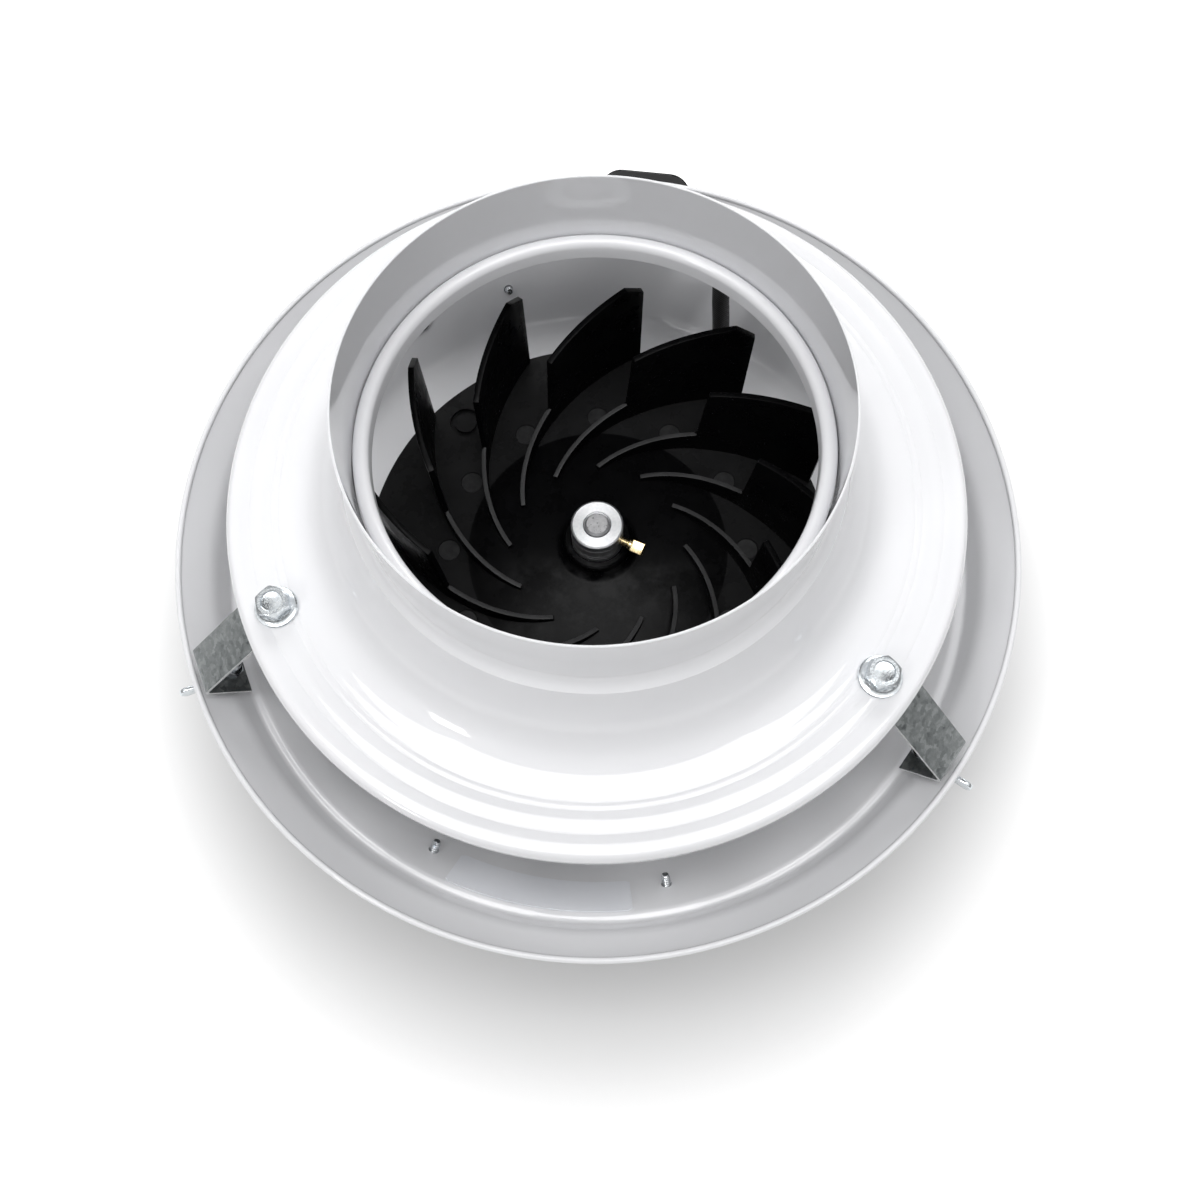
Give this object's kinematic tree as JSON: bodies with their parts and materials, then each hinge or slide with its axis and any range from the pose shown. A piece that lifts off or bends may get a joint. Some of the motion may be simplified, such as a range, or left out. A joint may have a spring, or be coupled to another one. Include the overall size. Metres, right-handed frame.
{
  "type": "radial exhaust fan",
  "caption": "White radial exhaust fan for a round duct: spigot with trumpet flange, strapped over a big spun dish, black backward-curved wheel inside, motor under a rear cap.",
  "frame": {"origin": "centre of the flat back of the rear cap, on the fan's axis", "axes": "+Z along the fan's axis, towards the duct spigot; +Y towards the back strap and the junction box; +X completes a right-handed frame"},
  "size_m": [0.4016, 0.4299, 0.244],
  "materials": {
    "white_coat": "glossy powder coat",
    "galvanised": "spangled zinc",
    "zinc_plate": "bright zinc plate",
    "bright_steel": "ground",
    "brass": "turned",
    "black_plastic": "satin moulded",
    "black_rubber": "matte",
    "cast_aluminium": "die cast",
    "laminations": "dark electrical steel",
    "copper_wire": "enamelled copper",
    "blank_label": "satin film",
    "pale_plastic": "moulded"
  },
  "bodies": {
    "housing": {"outer_dish": "white_coat", "rear_cap": "white_coat", "inlet_cone": "white_coat", "inlet_ring": "white_coat", "cap_screw_1": "zinc_plate", "cap_screw_2": "zinc_plate", "cap_screw_3": "zinc_plate", "cap_screw_4": "zinc_plate", "strap_bracket_back": "galvanised", "strap_bracket_left": "galvanised", "strap_bracket_right": "galvanised", "flange_bolt_back": "zinc_plate", "flange_bolt_left": "zinc_plate", "flange_bolt_right": "zinc_plate", "flange_nut_back": "zinc_plate", "flange_nut_left": "zinc_plate", "flange_nut_right": "zinc_plate", "strap_pad_back": "black_rubber", "strap_pad_left": "black_rubber", "strap_pad_right": "black_rubber", "strap_nut_back": "zinc_plate", "strap_nut_left": "zinc_plate", "strap_nut_right": "zinc_plate", "motor_plate": "galvanised", "plate_screw_1": "zinc_plate", "plate_screw_2": "zinc_plate", "plate_screw_3": "zinc_plate", "motor_front_bell": "cast_aluminium", "motor_rear_bell": "cast_aluminium", "motor_bolt_1": "zinc_plate", "motor_bolt_2": "zinc_plate", "motor_bolt_3": "zinc_plate", "stator_core": "laminations", "stator_windings": "copper_wire", "front_bearing": "bright_steel", "rear_bearing": "bright_steel", "run_capacitor": "cast_aluminium", "capacitor_nut": "zinc_plate", "motor_cable": "black_plastic", "cable_bushing": "black_rubber", "floor_grommet": "black_rubber", "wall_grommet": "black_rubber", "wall_plug": "black_plastic", "rating_label": "blank_label", "junction_box": "black_plastic", "box_lid": "black_plastic", "box_gasket": "black_rubber", "box_screw": "zinc_plate", "lid_screw_1": "zinc_plate", "lid_screw_2": "zinc_plate", "terminal_block": "pale_plastic", "gland_body": "black_plastic", "gland_nut": "black_plastic"},
    "rotor": {"impeller": "black_plastic", "hub_collar": "zinc_plate", "set_screw": "brass", "motor_shaft": "bright_steel", "motor_rotor": "laminations"},
    "left_wing_screw": {"wing_screw_left": "zinc_plate"},
    "right_wing_screw": {"wing_screw_right": "zinc_plate"}
  },
  "joints": [
    {"name": "impeller_spin", "type": "hinge", "parent": "housing", "child": "rotor", "pos_m": [0, 0, 0.1], "axis": [0, 0, 1], "continuous": true},
    {"name": "left_wing_turn", "type": "hinge", "parent": "housing", "child": "left_wing_screw", "pos_m": [-0.17627, -0.07482, 0.112], "axis": [-0.7082, -0.3006, -0.6388], "continuous": true},
    {"name": "right_wing_turn", "type": "hinge", "parent": "housing", "child": "right_wing_screw", "pos_m": [0.15294, -0.11525, 0.112], "axis": [0.6145, -0.463, -0.6388], "continuous": true}
  ]
}
